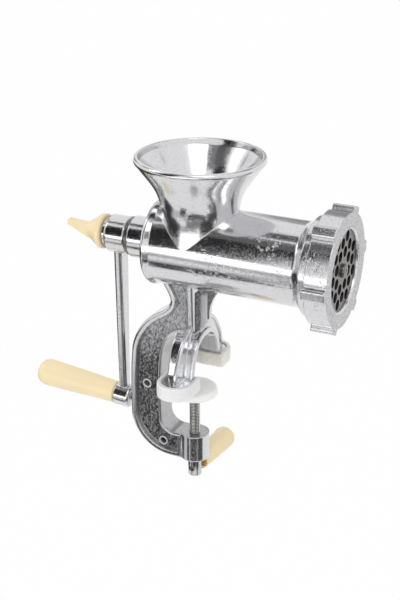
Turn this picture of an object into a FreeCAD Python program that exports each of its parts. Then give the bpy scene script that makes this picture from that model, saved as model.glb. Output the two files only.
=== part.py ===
import FreeCAD, Part
import os
from math import cos, radians, sin, sqrt

V = FreeCAD.Vector

# Frame: +Z up, +X towards the outlet, origin on the clamp screw's axis in the table top's plane.

# Clearances
RUN = 0.06
SLIDE = 0.10
PRESS = 0.02
FACE = 0.15

# Barrel and its axis
AXIS_Z = 102.5
BARREL_R = 30.0
BARREL_WALL = 4.6
BORE_R = BARREL_R - BARREL_WALL
REAR_X = -28.5
REAR_WALL = 4.5
REAR_BEAD = 1.5
JOURNAL_R = 8.0
BUSH_R = JOURNAL_R + 2.5
BOSS_R = BUSH_R + 4.7
BOSS_LEN = 19.0
COLLAR_LEN = 18.0
COLLAR_FLARE = 6.5

# Plate, ring and what they press on
PLATE_R = BARREL_R + 1.0
COLLAR_R = PLATE_R + 4.0
PLATE_T = 4.5
PLATE_BACK_X = 105.4
PLATE_PROUD = 1.4
HOLE_R = 3.8
# Each row: share of the plate's radius, number of holes, first hole's angle
HOLE_ROWS = ((0.42, 8, 26.5), (0.64, 8, 4.0), (0.762, 8, 26.5))
KEY_R = 1.5
KEY_LEN = 7.0
RING_R = COLLAR_R + 5.0
RING_LUG_R = RING_R + 4.0
RING_LUG_W = 9.0
RING_LUGS = 6
RING_LUG_TURN = 5.0
RING_LEN = 16.1
RING_LIP = 2.5
MOUTH_R = PLATE_R - 3.0
MOUTH_ROUND = 2.1

# Hopper
HOPPER_X = 4.5
HOPPER_NECK_R = BARREL_R - 2.6
HOPPER_RIM_R = 46.0
HOPPER_RIM_Z = 169.5
HOPPER_RIM_H = 4.2
HOPPER_WALL = 3.2
HOPPER_SPREAD = 1.9
THROAT_Z = 20.0

# Clamp frame
FRAME_T = 20.0
FRAME_RECESS = 3.5
RIM_OUT = 5.5
RIM_IN = 2.4
RIM_ROUND = 2.0
RIM_IN_ROUND = 1.1
RECESS_DRAFT = 1.2
SPINE_OUT_X = -49.0
SPINE_IN_X = -23.7
WAIST_X = -15.2
ARM_TOP_Z = -47.5
ARM_BOT_Z = -68.2
SCREW_R = 4.0
SCREW_BOSS_R = SCREW_R + 7.0
ARM_END_X = 3.5 - SCREW_BOSS_R
PAD_RING_R = 3.7
PAD_RING_H = 2.4

# Column and jaw legs
COLUMN_HALF = 17.0
COLUMN_RIM = 4.6
COLUMN_X0 = 1.8
COLUMN_BACK_X = -2.0
COLUMN_WAIST = 1.6
COLUMN_X1 = 6.0
COLUMN_FLOOR_X = 0.8
LEG_X1 = 4.4
LEG_PANEL = 0.9
LEG_RIM = 3.0
LEG_ROUND = 0.9
BAND_ROUND = 1.2
COLUMN_ROUND = 1.2
ARCH_T = 4.2
ARCH_TOP_Z = 34.5
FOOT_IN_Y = COLUMN_HALF + 4.6
FOOT_OUT_Y = FOOT_IN_Y + 21.0

# Jaw pads
FOOT_HALF_X = 10.6
PAD_HALF_X = FOOT_HALF_X + 2.9
PAD_IN_Y = FOOT_IN_Y - 2.0
PAD_OUT_Y = FOOT_OUT_Y + 3.4
PAD_T = 10.0
PAD_FLOOR = 4.0
ARCH_HALF_X = FOOT_HALF_X - 0.6

# Clamp screw, disc and lever
DISC_R = 17.2
DISC_T = 6.4
DISC_TOP_Z = -9.0
BALL_R = SCREW_R
BALL_DEPTH = 5.2
NECK_R = SCREW_R - 1.3
HEAD_R = SCREW_R + 1.2
HEAD_LEN = 16.0
HEAD_GAP = 0.4
LEVER_DROP = 9.6
LEVER_ANGLE = 87.0
LEVER_ROD_R = 2.2
LEVER_GRIP_START = HEAD_R + 1.2
LEVER_GRIP_LEN = 50.0
LEVER_GRIP_R0 = LEVER_ROD_R + 4.2
LEVER_GRIP_R1 = LEVER_GRIP_R0 + 2.2
LEVER_ROD_IN = 34.0
LEVER_PIN_R = LEVER_ROD_R / 2

# Worm and what turns with it
BUSH_FLANGE_R = BOSS_R - 1.0
BUSH_FLANGE_T = 2.0
WASHER_R = JOURNAL_R + 7.0
WASHER_T = 1.5
CORE_R0 = 9.5
CORE_R1 = 14.5
FLIGHT_R = BORE_R - 0.5
FLIGHT_PITCH = 30.0
FLIGHT_ROOT = 8.0
FLIGHT_TIP = 4.6
KNIFE_T = 5.0
KNIFE_R = BORE_R - 1.2
KNIFE_BLADE_W = 9.0
KNIFE_HUB_R = 9.0
SQUARE = 11.0
PIN_R = 4.8
PIN_PROUD = 2.6
PIN_DRILL_R = 1.7
DRIVE_R = JOURNAL_R - 1.0
DRIVE_FLAT = DRIVE_R - 1.6
DRIVE_LEN = 15.0

# Crank
HUB_R = DRIVE_R + 6.7
HUB_LEN = 15.0
HUB_NECK_R = HUB_R - 3.2
HUB_NECK_LEN = 5.4
HUB_GAP = 0.5
CRANK_THROW = 132.0
ARM_T = 6.2
ARM_FROM_HUB = 6.2
ARM_W0 = 13.6
ARM_W1 = 8.6
GRIP_TILT = 4.0
GRIP_BOSS_R = 9.0
GRIP_BOSS_LEN = 12.4
SPINDLE_R = 3.0
SPINDLE_HEAD_R = 4.2
SPINDLE_HEAD_T = 2.2
GRIP_R0 = 8.4
GRIP_R1 = 10.4
GRIP_LEN = 68.5
GRIP_GAP = 0.5
GRIP_END_WALL = 9.0

# Wing knob
STUD_R = DRIVE_FLAT - 1.4
STUD_LEN = 25.5
STUD_IN_KNOB = 11.5
KNOB_RIM_R = HUB_NECK_R + 2.4
KNOB_RIM_T = 3.8
KNOB_CONE_LEN = 9.0
KNOB_CONE_R = STUD_R + 2.4
WING_LEN = 19.0
WING_ROOT = 11.4
WING_TIP = 4.4
WING_T = 5.0


def cyl_x(x0, x1, r, y=0.0, z=AXIS_Z):
    return Part.makeCylinder(r, x1 - x0, V(x0, y, z), V(1, 0, 0))


def cyl_z(z0, z1, r, x=0.0, y=0.0):
    return Part.makeCylinder(r, z1 - z0, V(x, y, z0), V(0, 0, 1))


def box(x0, x1, y0, y1, z0, z1):
    return Part.makeBox(x1 - x0, y1 - y0, z1 - z0, V(x0, y0, z0))


def face_of(runs, place):
    # Each run is a list of 2-D points: two make a line, more make one smooth curve.
    edges = []
    for run in runs:
        pts = [place(a, b) for a, b in run]
        if len(pts) == 2:
            edges.append(Part.LineSegment(pts[0], pts[1]).toShape())
        else:
            curve = Part.BSplineCurve()
            curve.interpolate(pts)
            edges.append(curve.toShape())
    return Part.Face(Part.Wire(edges))


def closed(points):
    return [[points[i], points[(i + 1) % len(points)]] for i in range(len(points))]


def turn_x(runs, z=AXIS_Z):
    face = face_of(runs, lambda a, b: V(a, 0, z + b))
    return face.revolve(V(0, 0, z), V(1, 0, 0), 360)


def turn_z(runs, x=0.0, y=0.0):
    face = face_of(runs, lambda a, b: V(x + a, y, b))
    return face.revolve(V(x, y, 0), V(0, 0, 1), 360)


def plate_y(runs, y0, y1):
    return face_of(runs, lambda a, b: V(a, y0, b)).extrude(V(0, y1 - y0, 0))


def plate_x(runs, x0, x1):
    return face_of(runs, lambda a, b: V(x0, a, b)).extrude(V(x1 - x0, 0, 0))


def mirrored_y(shape):
    return shape.mirror(V(0, 0, 0), V(0, 1, 0))


def joined(shapes):
    return shapes[0].multiFuse(shapes[1:]).removeSplitter()


def rounded(shape, radius, pick):
    return shape.makeFillet(radius, [e for e in shape.Edges if pick(e)])


def slot_d(half, inner, outer, z0, z1):
    # Upright D: square towards the middle, a half circle at the outer end.
    mid = outer - half
    flat = box(-half, half, inner, mid, z0, z1)
    return flat.fuse(cyl_z(z0, z1, half, 0, mid)).removeSplitter()


# Places that several pieces share
BARREL_LOW = AXIS_Z - BARREL_R
HOPPER_FOOT_Z = AXIS_Z + 0.15 * BARREL_R
WAIST_Z = BARREL_LOW - 12.5
CROWN_Z = ARCH_TOP_Z + ARCH_T
SHOULDER_Z = CROWN_Z + 6.8
REAR_INSIDE = REAR_X + REAR_WALL
BOSS_END = REAR_X - BOSS_LEN
BUSH_END = BOSS_END - BUSH_FLANGE_T
PLATE_FRONT = PLATE_BACK_X + PLATE_T
COLLAR_END = PLATE_FRONT - PLATE_PROUD
COLLAR_START = COLLAR_END - COLLAR_LEN
RING_FRONT = PLATE_FRONT + RING_LIP
RING_BACK = RING_FRONT - RING_LEN
HUB_X1 = BUSH_END - HUB_GAP
HUB_X0 = HUB_X1 - HUB_LEN
NECK_END = HUB_X0 - HUB_NECK_LEN
CRANK_Z = AXIS_Z - CRANK_THROW
ARM_X1 = HUB_X1 - ARM_FROM_HUB
ARM_X0 = ARM_X1 - ARM_T
GRIP_BOSS_X1 = ARM_X1 + (GRIP_BOSS_LEN - ARM_T) / 2
GRIP_BOSS_X0 = GRIP_BOSS_X1 - GRIP_BOSS_LEN
GRIP_X1 = GRIP_BOSS_X0 - GRIP_GAP
GRIP_X0 = GRIP_X1 - GRIP_LEN
DISC_BOT_Z = DISC_TOP_Z - DISC_T
HEAD_TOP_Z = ARM_BOT_Z - HEAD_GAP
HEAD_BOT_Z = HEAD_TOP_Z - HEAD_LEN
LEVER_Z = HEAD_TOP_Z - LEVER_DROP
KNIFE_X1 = PLATE_BACK_X - FACE
KNIFE_X0 = KNIFE_X1 - KNIFE_T
WORM_X0 = REAR_INSIDE + WASHER_T
LEG_X0 = COLUMN_X0
LEG_OUT_Y = FOOT_OUT_Y - FOOT_HALF_X + sqrt(FOOT_HALF_X**2 - LEG_X1**2) - 0.4


def hopper_outside():
    rim_low = HOPPER_RIM_Z - HOPPER_RIM_H
    flare = HOPPER_RIM_R - HOPPER_NECK_R
    low = AXIS_Z + THROAT_Z
    height = rim_low - low
    side = [
        (HOPPER_NECK_R + HOPPER_SPREAD, HOPPER_FOOT_Z),
        (HOPPER_NECK_R + 0.55 * HOPPER_SPREAD, HOPPER_FOOT_Z + 0.5 * (low - HOPPER_FOOT_Z)),
        (HOPPER_NECK_R + 0.1 * HOPPER_SPREAD, low),
        (HOPPER_NECK_R + 0.02 * flare, low + 0.22 * height),
        (HOPPER_NECK_R + 0.16 * flare, low + 0.47 * height),
        (HOPPER_NECK_R + 0.41 * flare, low + 0.67 * height),
        (HOPPER_NECK_R + 0.73 * flare, low + 0.86 * height),
        (HOPPER_RIM_R - 0.7, rim_low),
    ]
    return side


def hopper_shell(inner):
    side = hopper_outside()
    low = side[0][1]
    top = HOPPER_RIM_Z
    if inner:
        throat = (HOPPER_NECK_R - HOPPER_WALL, low)
        side = [(r - HOPPER_WALL, z) for r, z in side[2:]]
        side[0] = (throat[0], side[0][1])
        brim = (side[-1][0] + 0.9, top)
        runs = [[(0, low), throat], [throat, side[0]], side]
        runs += [[side[-1], brim], [brim, (0, top)], [(0, top), (0, low)]]
        return turn_z(runs, HOPPER_X)
    rim_low = side[-1][1]
    mid = 0.5 * (rim_low + top)
    bead = [side[-1], (HOPPER_RIM_R, rim_low + 1.0), (HOPPER_RIM_R, mid + 0.6), (HOPPER_RIM_R - 1.1, top)]
    runs = [[(0, low), side[0]], side, bead, [bead[-1], (0, top)], [(0, top), (0, low)]]
    return turn_z(runs, HOPPER_X)


def barrel_outside():
    bead = BARREL_R + REAR_BEAD
    end_round = [
        (REAR_X, bead - 3.0),
        (REAR_X + 0.7, bead - 0.8),
        (REAR_X + 2.4, bead),
        (REAR_X + 4.2, bead - 0.5),
        (REAR_X + 6.5, BARREL_R),
    ]
    flare = [
        (COLLAR_START - COLLAR_FLARE, BARREL_R),
        (COLLAR_START - 0.6 * COLLAR_FLARE, BARREL_R + 0.2 * (COLLAR_R - BARREL_R)),
        (COLLAR_START - 0.25 * COLLAR_FLARE, BARREL_R + 0.7 * (COLLAR_R - BARREL_R)),
        (COLLAR_START, COLLAR_R),
    ]
    runs = [
        [(BOSS_END, 0), (BOSS_END, BOSS_R - 0.8)],
        [(BOSS_END, BOSS_R - 0.8), (BOSS_END + 0.8, BOSS_R)],
        [(BOSS_END + 0.8, BOSS_R), (REAR_X, BOSS_R)],
        [(REAR_X, BOSS_R), end_round[0]],
        end_round,
        [end_round[-1], flare[0]],
        flare,
        [flare[-1], (COLLAR_END, COLLAR_R)],
        [(COLLAR_END, COLLAR_R), (COLLAR_END, 0)],
        [(COLLAR_END, 0), (BOSS_END, 0)],
    ]
    return turn_x(runs)


def frame_curves(out, inn, right_x):
    # The C frame's outer and inner sides in the XZ plane, moved into the metal by out and inn.
    corner_out = 33.0
    corner_in = 11.0
    xo = SPINE_OUT_X + out
    xi = SPINE_IN_X - inn
    zo = ARM_BOT_Z + out
    zi = ARM_TOP_Z - inn
    ro = corner_out - out
    ri = corner_in + inn
    k = sqrt(0.5)
    deep = WAIST_X - SPINE_OUT_X
    outer = [
        (WAIST_X - 7.8 + 0.6 * out, BARREL_LOW + 7.5),
        (WAIST_X - 1.4 + out, WAIST_Z + 6.0),
        (WAIST_X + out, WAIST_Z),
        (WAIST_X - 0.1 * deep + 0.9 * out, WAIST_Z - 5.6 - 0.5 * out),
        (WAIST_X - 0.466 * deep + 0.6 * out, 0.763 * WAIST_Z - 0.8 * out),
        (WAIST_X - 0.794 * deep + 0.85 * out, 0.54 * WAIST_Z - 0.5 * out),
        (WAIST_X - 0.955 * deep + out, 0.265 * WAIST_Z - 0.2 * out),
        (xo, -0.2 * WAIST_Z),
    ]
    bend_out = [(xo, zo + ro), (xo + ro * (1 - k), zo + ro * (1 - k)), (xo + ro, zo)]
    inner = [
        (xi, zi + ri),
        (xi, 0.0),
        (SPINE_IN_X + 0.9 - inn, 0.32 * CROWN_Z),
        (SPINE_IN_X + 2.9 - 0.9 * inn, 0.605 * CROWN_Z + 0.3 * inn),
        (SPINE_IN_X + 7.9 - 0.6 * inn, 0.837 * CROWN_Z + 0.8 * inn),
        (SPINE_IN_X + 15.5, 0.96 * CROWN_Z + inn),
        (right_x, CROWN_Z - 0.1 + inn),
    ]
    bend_in = [(xi + ri, zi), (xi + ri * (1 - k), zi + ri * (1 - k)), (xi, zi + ri)]
    return outer, bend_out, inner, bend_in


def arc_edge(points):
    return Part.Arc(*points).toShape()


def spline_edge(points, start, end):
    # A smooth curve that leaves along start and arrives along end.
    curve = Part.BSplineCurve()
    curve.interpolate(Points=points, InitialTangent=start, FinalTangent=end)
    return curve.toShape()


def eased(start, leave, end, arrive):
    # One smooth curve between two points, with the two directions kept.
    third = (end - start).Length / 3
    curve = Part.BezierCurve()
    curve.setPoles([start, start + leave * third, end - arrive * third, end])
    return curve.toShape()


def frame_face(y, out, inn, end_x, first, top_z, right_x):
    # first: where the outer side starts, 0 inside the barrel or 1 at the waist.
    outer, bend_out, inner, bend_in = [
        [V(a, y, b) for a, b in run] for run in frame_curves(out, inn, right_x)
    ]
    zo = bend_out[-1].z
    zi = bend_in[0].z
    corner = V(right_x, y, top_z)
    start = outer[first]
    lead = Part.BSplineCurve()
    lead.interpolate(outer[first:-1])
    edges = [lead.toShape(), eased(outer[-2], lead.tangent(lead.LastParameter)[0], outer[-1], V(0, 0, -1))]
    edges.append(Part.LineSegment(outer[-1], bend_out[0]).toShape())
    edges.append(arc_edge(bend_out))
    edges.append(Part.LineSegment(bend_out[-1], V(end_x, y, zo)).toShape())
    edges.append(Part.LineSegment(V(end_x, y, zo), V(end_x, y, zi)).toShape())
    edges.append(Part.LineSegment(V(end_x, y, zi), bend_in[0]).toShape())
    edges.append(arc_edge(bend_in))
    edges.append(spline_edge(inner, V(0, 0, 1), V(1, 0, 0.1)))
    edges.append(Part.LineSegment(inner[-1], corner).toShape())
    edges.append(Part.LineSegment(corner, start).toShape())
    return Part.Face(Part.Wire(edges))


def face_edges(shape, pick):
    # Edges that lie in one of the frame's two side planes.
    half = FRAME_T / 2
    return [e for e in shape.Edges if abs(abs(e.CenterOfMass.y) - half) < 0.01 and pick(e.BoundBox)]


def clamp_frame():
    half = FRAME_T / 2
    side = frame_face(-half, 0.0, 0.0, ARM_END_X, 0, BARREL_LOW + 11.5, COLUMN_X0 + 1.0)
    frame = side.extrude(V(0, FRAME_T, 0))
    outer = face_edges(frame, lambda b: b.XMin < SPINE_OUT_X + 1.0 or b.ZMax < ARM_BOT_Z + 0.1)
    frame = frame.makeFillet(RIM_ROUND, outer)
    inner = face_edges(
        frame, lambda b: b.ZMin > ARM_TOP_Z - 0.1 and b.XMin > SPINE_IN_X - 1.0 and b.ZMax < CROWN_Z + 1.0
    )
    frame = frame.makeFillet(RIM_IN_ROUND, inner)
    frame = frame.cut(frame_recess()).cut(mirrored_y(frame_recess()))
    boss = cyl_z(ARM_BOT_Z, ARM_TOP_Z, SCREW_BOSS_R)
    return joined([frame, boss])


def frame_recess():
    # The recess narrows from its lip to its floor by the casting's draft.
    half = FRAME_T / 2
    end_x = ARM_END_X - RIM_IN - 0.8
    top = BARREL_LOW + 12.5
    right = COLUMN_X0 + 2.0
    d = RECESS_DRAFT
    lip = frame_face(-half, RIM_OUT - d, RIM_IN - 0.5 * d, end_x + 0.5 * d, 0, top, right)
    e = 0.3 * d
    floor = frame_face(FRAME_RECESS - half, RIM_OUT + e, RIM_IN + e, end_x - 0.5 * d, 0, top, right)
    cut = Part.makeLoft([lip.OuterWire, floor.OuterWire], True, True)
    rings = []
    for x, z in ((-35.4, -10.4), (-22.4, -56.4)):
        ring = Part.makeCylinder(PAD_RING_R, PAD_RING_H, V(x, -half + FRAME_RECESS, z), V(0, -1, 0))
        hollow = V(x, -half + FRAME_RECESS - 1.0, z)
        dish = Part.makeCylinder(PAD_RING_R - 1.2, PAD_RING_H, hollow, V(0, -1, 0))
        rings.append(ring.cut(dish))
    for ring in rings:
        cut = cut.cut(ring)
    return cut


def leg_outline(inset):
    # Outer side of one leg, from the column's edge down to the foot.
    wide = LEG_OUT_Y - COLUMN_HALF
    drop = SHOULDER_Z - PAD_T
    return [
        (COLUMN_HALF - inset, SHOULDER_Z),
        (COLUMN_HALF + 3.0 - inset, SHOULDER_Z - 0.061 * drop - 0.7 * inset),
        (COLUMN_HALF + 0.454 * wide - 0.8 * inset, SHOULDER_Z - 0.227 * drop - 0.6 * inset),
        (COLUMN_HALF + 0.751 * wide - 0.9 * inset, SHOULDER_Z - 0.488 * drop - 0.4 * inset),
        (COLUMN_HALF + 0.957 * wide - inset, SHOULDER_Z - 0.76 * drop),
        (LEG_OUT_Y - inset, PAD_T),
    ]


def arch_line(out):
    drop = ARCH_TOP_Z - PAD_T
    return [
        (0.0, ARCH_TOP_Z + out),
        (0.37 * FOOT_IN_Y + 0.3 * out, ARCH_TOP_Z - 0.045 * drop + 0.95 * out),
        (0.667 * FOOT_IN_Y + 0.75 * out, ARCH_TOP_Z - 0.226 * drop + 0.65 * out),
        (0.833 * FOOT_IN_Y + out, ARCH_TOP_Z - 0.528 * drop + 0.3 * out),
        (FOOT_IN_Y + out, PAD_T),
    ]


def jaw_legs():
    outer = leg_outline(0.0)
    arch = arch_line(0.0)
    low = PAD_FLOOR
    leg = plate_x(
        [
            [(0, SHOULDER_Z), outer[0]],
            outer,
            [outer[-1], (LEG_OUT_Y, low)],
            [(LEG_OUT_Y, low), (FOOT_IN_Y, low)],
            [(FOOT_IN_Y, low), arch[-1]],
            list(reversed(arch)),
            [arch[0], (0, SHOULDER_Z)],
        ],
        LEG_X0,
        LEG_X1,
    )
    leg = rounded(leg, LEG_ROUND, lambda e: e.Length > 30 and e.CenterOfMass.y > FOOT_IN_Y)
    panel_out = leg_outline(LEG_RIM)
    panel_in = arch_line(ARCH_T)
    panel = plate_x(
        [
            [(COLUMN_HALF - LEG_RIM, SHOULDER_Z - LEG_RIM), panel_out[1]],
            panel_out[1:],
            [panel_out[-1], panel_in[-1]],
            list(reversed(panel_in[2:])),
            [panel_in[2], (COLUMN_HALF - LEG_RIM, SHOULDER_Z - LEG_RIM)],
        ],
        LEG_X1 - LEG_PANEL,
        LEG_X1 + 1.0,
    )
    leg = leg.cut(panel)
    band_out = arch_line(ARCH_T)
    band = plate_x(
        [
            arch,
            [arch[-1], (FOOT_IN_Y, low)],
            [(FOOT_IN_Y, low), (FOOT_IN_Y + ARCH_T, low)],
            [(FOOT_IN_Y + ARCH_T, low), band_out[-1]],
            list(reversed(band_out)),
            [band_out[0], arch[0]],
        ],
        -ARCH_HALF_X,
        ARCH_HALF_X,
    )
    at_side = ARCH_HALF_X - 0.01
    band = rounded(band, BAND_ROUND, lambda e: e.Length > 25 and abs(e.CenterOfMass.x) > at_side)
    foot = slot_d(FOOT_HALF_X, FOOT_IN_Y, FOOT_OUT_Y, PAD_FLOOR, PAD_T - 1.0)
    side = joined([leg, band, foot])
    return joined([side, mirrored_y(side)])


def column():
    top = BARREL_LOW + 10.0
    half = COLUMN_HALF
    low = CROWN_Z - 0.4
    waist = half - COLUMN_WAIST
    side = [(half, top), (waist + 0.2 * COLUMN_WAIST, SHOULDER_Z + 10.0), (waist, SHOULDER_Z + 1.0)]
    foot = (waist - COLUMN_RIM, low)
    left = [(-a, b) for a, b in reversed(side)]
    front = plate_x(
        [
            [(-half, top), (half, top)],
            side,
            [side[-1], foot],
            [foot, (-foot[0], low)],
            [(-foot[0], low), left[0]],
            left,
        ],
        COLUMN_X0,
        COLUMN_X1,
    )
    front = rounded(front, COLUMN_ROUND, lambda e: e.Length > 20 and e.CenterOfMass.x > COLUMN_X1 - 0.01
                    and abs(e.CenterOfMass.y) > 10)
    inside = waist - 0.6
    corners = [(COLUMN_BACK_X, FRAME_T / 2 + 0.5), (COLUMN_X0 + 0.4, inside)]
    outline = [V(a, -b, low) for a, b in corners] + [V(a, b, low) for a, b in reversed(corners)]
    back = Part.Face(Part.makePolygon(outline + outline[:1])).extrude(V(0, 0, top - low))
    x = COLUMN_X1
    high = top - SHOULDER_Z
    web = plate_y(
        [
            [(x - 1.0, SHOULDER_Z), (x - 1.0, top)],
            [(x - 1.0, top), (x + 18.0, top)],
            [
                (x + 18.0, top),
                (x + 7.2, SHOULDER_Z + 0.52 * high),
                (x + 2.2, SHOULDER_Z + 0.28 * high),
                (x, SHOULDER_Z),
            ],
            [(x, SHOULDER_Z), (x - 1.0, SHOULDER_Z)],
        ],
        half - COLUMN_RIM,
        half - 0.4,
    )
    return joined([front, back, web])


def column_recess():
    half = COLUMN_HALF - COLUMN_RIM
    return box(COLUMN_FLOOR_X, COLUMN_X1 + 1.0, -half, half, CROWN_Z + 1.2, BARREL_LOW - 1.0)


def body_casting():
    body = joined([barrel_outside(), hopper_shell(False), clamp_frame(), jaw_legs(), column()])
    body = body.cut(column_recess())
    bore = cyl_x(REAR_INSIDE, PLATE_BACK_X, BORE_R)
    seat = cyl_x(PLATE_BACK_X, COLLAR_END + 1.0, PLATE_R + SLIDE)
    bush_hole = cyl_x(BOSS_END - 1.0, REAR_INSIDE + 1.0, BUSH_R + PRESS)
    body = body.cut(bore).cut(seat).cut(bush_hole).cut(hopper_shell(True))
    body = body.cut(cyl_z(ARM_BOT_Z - 1.0, ARM_TOP_Z + 1.0, SCREW_R + RUN))
    key = cyl_x(PLATE_BACK_X - (KEY_LEN - PLATE_T + 0.8), PLATE_FRONT, KEY_R + PRESS, 0.0, AXIS_Z + PLATE_R)
    return body.cut(key).removeSplitter()


def rear_bush():
    tube = cyl_x(BOSS_END, REAR_INSIDE, BUSH_R)
    flange = cyl_x(BUSH_END, BOSS_END, BUSH_FLANGE_R)
    return joined([tube, flange]).cut(cyl_x(BUSH_END - 1.0, REAR_INSIDE + 1.0, JOURNAL_R + RUN))


def plate_key_pin():
    x0 = PLATE_BACK_X - (KEY_LEN - PLATE_T + 0.8)
    return cyl_x(x0, x0 + KEY_LEN, KEY_R, 0.0, AXIS_Z + PLATE_R)


def jaw_pad():
    pad = slot_d(PAD_HALF_X, PAD_IN_Y, PAD_OUT_Y, 0.0, PAD_T)
    pad = rounded(pad, 1.2, lambda e: abs(e.CenterOfMass.z - PAD_T) < 0.01)
    pocket = slot_d(FOOT_HALF_X + PRESS, FOOT_IN_Y - PRESS, FOOT_OUT_Y + PRESS, PAD_FLOOR, PAD_T + 1.0)
    return pad.cut(pocket)


def flight():
    helix = Part.makeLongHelix(FLIGHT_PITCH, KNIFE_X0 - WORM_X0 + FLIGHT_PITCH, CORE_R1, 0, True)
    r0 = CORE_R0 - 2.0
    r1 = FLIGHT_R + 3.0
    slope = (FLIGHT_ROOT - FLIGHT_TIP) / 2 / (FLIGHT_R - CORE_R0)
    b = FLIGHT_TIP / 2 - slope * (r1 - FLIGHT_R)
    a = FLIGHT_TIP / 2 + slope * (FLIGHT_R - r0)
    profile = Part.makePolygon([V(r0, 0, -a), V(r1, 0, -b), V(r1, 0, b), V(r0, 0, a), V(r0, 0, -a)])
    swept = helix.makePipeShell([profile], True, True)
    swept.rotate(V(0, 0, 0), V(0, 1, 0), 90)
    swept.translate(V(WORM_X0 - FLIGHT_PITCH / 2, 0, AXIS_Z))
    return swept.common(cyl_x(WORM_X0 + 3.0, KNIFE_X0 - 1.0, FLIGHT_R))


def worm():
    core = turn_x(
        [
            [(BUSH_END - HUB_GAP, 0), (BUSH_END - HUB_GAP, JOURNAL_R)],
            [(BUSH_END - HUB_GAP, JOURNAL_R), (WORM_X0, JOURNAL_R)],
            [(WORM_X0, JOURNAL_R), (WORM_X0, WASHER_R)],
            [(WORM_X0, WASHER_R), (WORM_X0 + 4.0, WASHER_R)],
            [(WORM_X0 + 4.0, WASHER_R), (WORM_X0 + 8.0, CORE_R0)],
            [(WORM_X0 + 8.0, CORE_R0), (KNIFE_X0, CORE_R1)],
            [(KNIFE_X0, CORE_R1), (KNIFE_X0, 0)],
            [(KNIFE_X0, 0), (BUSH_END - HUB_GAP, 0)],
        ]
    )
    s = SQUARE / 2
    square = box(KNIFE_X0, KNIFE_X1 - 0.4, -s, s, AXIS_Z - s, AXIS_Z + s)
    tip = PLATE_FRONT + PIN_PROUD
    pin = rounded(cyl_x(KNIFE_X0, tip, PIN_R), 1.2, lambda e: abs(e.CenterOfMass.x - tip) < 0.01)
    wide = 2 * PIN_DRILL_R
    drill = Part.makeCone(0.0, wide, wide, V(tip - PIN_DRILL_R, 0, AXIS_Z), V(1, 0, 0))
    pin = pin.cut(drill)
    drive_end = BUSH_END - HUB_GAP - DRIVE_LEN
    drive = cyl_x(drive_end, BUSH_END, DRIVE_R)
    drive = drive.common(
        box(drive_end, BUSH_END, -DRIVE_FLAT, DRIVE_FLAT, AXIS_Z - DRIVE_R, AXIS_Z + DRIVE_R)
    )
    solid = core.multiFuse([square, pin, drive, flight()])
    return solid.cut(cyl_x(drive_end - 1.0, drive_end + STUD_LEN - STUD_IN_KNOB, STUD_R + RUN))


def thrust_washer():
    return cyl_x(REAR_INSIDE, WORM_X0, WASHER_R).cut(cyl_x(REAR_INSIDE, WORM_X0, JOURNAL_R + SLIDE))


def cross_knife():
    hub = cyl_x(KNIFE_X0, KNIFE_X1, KNIFE_HUB_R)
    blades = []
    for k in range(4):
        w = KNIFE_BLADE_W / 2
        blade = plate_y(
            closed([(KNIFE_X0, 0.0), (KNIFE_X1, 0.0), (KNIFE_X1, KNIFE_R), (KNIFE_X0 + 1.2, KNIFE_R)]),
            -w,
            w,
        )
        far = KNIFE_R + 1.0
        back = plate_x(closed([(w, 0.0), (w - 3.2, far), (w + 1.0, far)]), KNIFE_X0, KNIFE_X1)
        lean = plate_z_wedge(w)
        blade = blade.cut(back).cut(lean)
        blade.translate(V(0, 0, AXIS_Z))
        blade.rotate(V(0, 0, AXIS_Z), V(1, 0, 0), 90 * k)
        blades.append(blade)
    knife = joined([hub] + blades)
    s = SQUARE / 2 + SLIDE
    return knife.cut(box(KNIFE_X0 - 1, KNIFE_X1 + 1, -s, s, AXIS_Z - s, AXIS_Z + s))


def plate_z_wedge(w):
    # Cuts the blade's trailing side down to a slant behind its cutting edge.
    wedge = Part.Face(
        Part.makePolygon(
            [
                V(KNIFE_X0 - 0.1, w - 4.6, KNIFE_HUB_R - 1.0),
                V(KNIFE_X0 - 0.1, w + 0.1, KNIFE_HUB_R - 1.0),
                V(KNIFE_X1 - 1.2, w + 0.1, KNIFE_HUB_R - 1.0),
                V(KNIFE_X0 - 0.1, w - 4.6, KNIFE_HUB_R - 1.0),
            ]
        )
    )
    return wedge.extrude(V(0, 0, KNIFE_R))


def hole_plate():
    plate = cyl_x(PLATE_BACK_X, PLATE_FRONT, PLATE_R)
    cuts = [cyl_x(PLATE_BACK_X - 1, PLATE_FRONT + 1, PIN_R + RUN)]
    for share, count, first in HOLE_ROWS:
        r = share * PLATE_R
        for k in range(count):
            a = radians(first + 360.0 * k / count)
            cuts.append(cyl_x(PLATE_BACK_X - 1, PLATE_FRONT + 1, HOLE_R, r * cos(a), AXIS_Z + r * sin(a)))
    cuts.append(cyl_x(PLATE_BACK_X - 1, PLATE_FRONT + 1, KEY_R + SLIDE, 0.0, AXIS_Z + PLATE_R))
    return plate.cut(cuts[0].multiFuse(cuts[1:]))


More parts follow.
